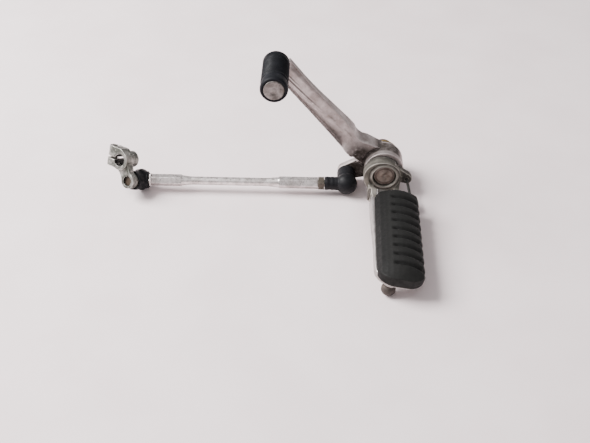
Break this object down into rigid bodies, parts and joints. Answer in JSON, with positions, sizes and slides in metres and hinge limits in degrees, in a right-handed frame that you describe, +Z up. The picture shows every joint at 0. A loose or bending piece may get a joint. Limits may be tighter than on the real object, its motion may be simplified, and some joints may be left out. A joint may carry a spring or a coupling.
{
  "type": "gear shift lever",
  "caption": "Footrest-mounted gear shift lever with a toe peg, a tie rod between two booted ball joints, a splined clamp arm and a folding footrest.",
  "frame": {"origin": "centre of the pivot shaft's inboard end face, which seats on the frame", "axes": "+Z up as it lies on a table, +Y inboard along the pivot shaft, +X right; the tie rod runs to -X and the footrest to -Y"},
  "size_m": [0.2534, 0.1698, 0.1258],
  "materials": {
    "cast_alloy": "tarnished brown-grey cast alloy",
    "shaft_steel": "turned steel with a rust-brown ring",
    "zinc_yellow": "yellow zinc plate",
    "spring_steel": "dark oiled spring steel",
    "pin_steel": "dull grey steel",
    "tray_alloy": "worn bright cast alloy",
    "pad_rubber": "matt black ribbed rubber",
    "feeler_steel": "brown rusted steel",
    "lever_alloy": "dull grey cast alloy, scuffed",
    "bush_bronze": "sintered bronze",
    "seal_rubber": "black seal rubber",
    "toe_alloy": "scratched alloy",
    "toe_rubber": "blue-black ribbed rubber",
    "joint_steel": "dull plated steel",
    "rod_steel": "bright zinc-plated steel, scratched",
    "race_nylon": "natural nylon",
    "nut_tarnished": "olive-brown tarnished plate",
    "boot_rubber": "near-black soft rubber",
    "arm_alloy": "grey-green tarnished cast alloy",
    "bolt_steel": "dark dull steel"
  },
  "bodies": {
    "holder": {"peg_holder": "cast_alloy", "pivot_shaft": "shaft_steel", "thrust_washer": "zinc_yellow", "snap_ring": "spring_steel", "footrest_pin": "pin_steel", "pin_washer": "pin_steel", "split_pin": "pin_steel", "return_spring": "spring_steel"},
    "footrest": {"peg_bar": "tray_alloy", "pad_plate": "pin_steel", "peg_rubber": "pad_rubber", "pad_bolts": "pin_steel", "bank_feeler": "feeler_steel"},
    "lever": {"lever": "lever_alloy", "hub_bushes": "bush_bronze", "outer_seal": "seal_rubber", "inner_seal": "seal_rubber", "toe_pin": "toe_alloy", "toe_rubber": "toe_rubber", "rear_ball_stud": "joint_steel"},
    "tie_rod": {"tie_rod": "rod_steel", "rear_rod_end": "joint_steel", "front_rod_end": "joint_steel", "rear_ball_race": "race_nylon", "front_ball_race": "race_nylon", "rear_lock_nut": "nut_tarnished", "front_lock_nut": "rod_steel", "rear_boot": "boot_rubber", "front_boot": "boot_rubber"},
    "shift_arm": {"shift_arm": "arm_alloy", "front_ball_stud": "joint_steel", "pinch_bolt": "bolt_steel"}
  },
  "joints": [
    {"name": "lever_pivot", "type": "hinge", "parent": "holder", "child": "lever", "pos_m": [0, -0.0213, 0], "axis": [0, 1, 0], "range_deg": [-15, 15]},
    {"name": "rear_ball", "type": "hinge", "parent": "lever", "child": "tie_rod", "pos_m": [-0.03052, -0.0411, -0.00962], "axis": [0, 1, 0], "range_deg": [-40, 40]},
    {"name": "front_ball", "type": "hinge", "parent": "tie_rod", "child": "shift_arm", "pos_m": [-0.20052, -0.0411, -0.00962], "axis": [-0.4763, -0.7622, 0.4384], "range_deg": [-60, 60]},
    {"name": "footrest_fold", "type": "hinge", "parent": "holder", "child": "footrest", "pos_m": [0.00016, -0.06134, -0.00764], "axis": [-0.9846, 0.0192, 0.1736], "range_deg": [0, 60], "stiffness_Nm_per_rad": 0.2, "springref_deg": -85.94, "deforming": ["return_spring"]}
  ]
}
